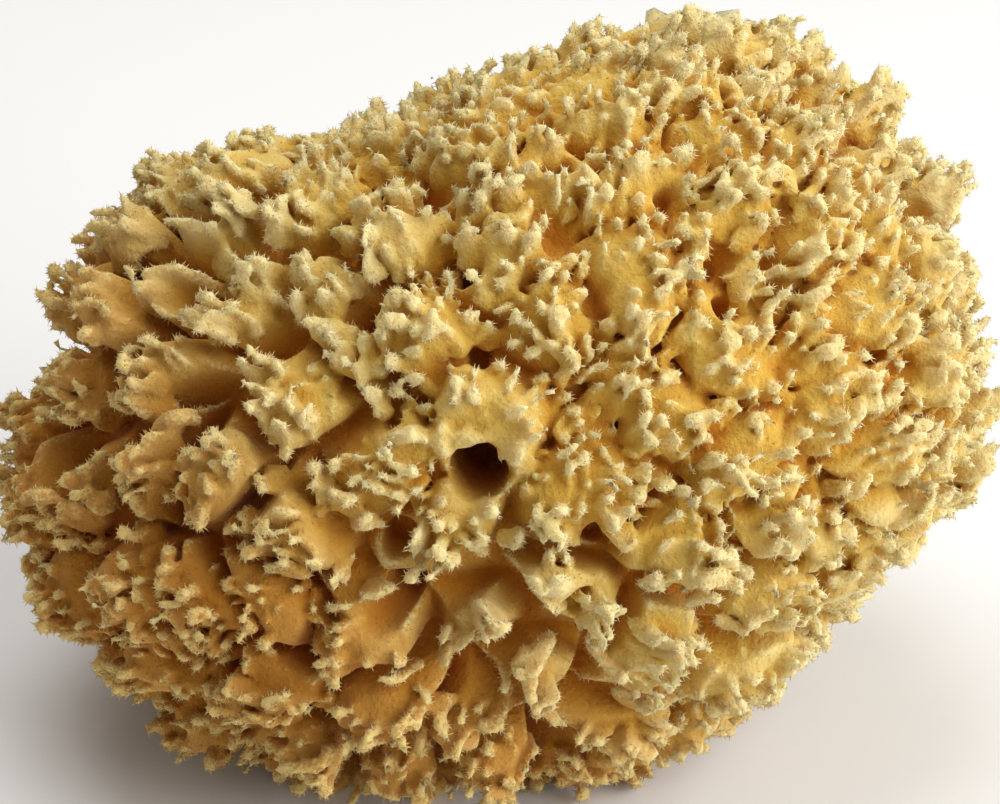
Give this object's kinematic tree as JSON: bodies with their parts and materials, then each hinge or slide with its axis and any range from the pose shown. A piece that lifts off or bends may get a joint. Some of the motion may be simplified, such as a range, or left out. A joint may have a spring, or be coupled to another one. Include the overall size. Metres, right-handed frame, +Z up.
{
  "type": "sea sponge",
  "caption": "Natural bath sponge: a lumpy, tufted oval body with open channel mouths, cut flat underneath to rest on.",
  "frame": {"origin": "centre of the bounding box's bottom face, on the flat cut base", "axes": "+X to the right along the longest extent as seen in the picture, -Y towards the viewer, +Z up"},
  "size_m": [0.1474, 0.11, 0.1091],
  "materials": {
    "sponge": "matt, golden in the hollows and cream on the tuft tips"
  },
  "bodies": {
    "root": {"sponge": "sponge"}
  },
  "joints": []
}
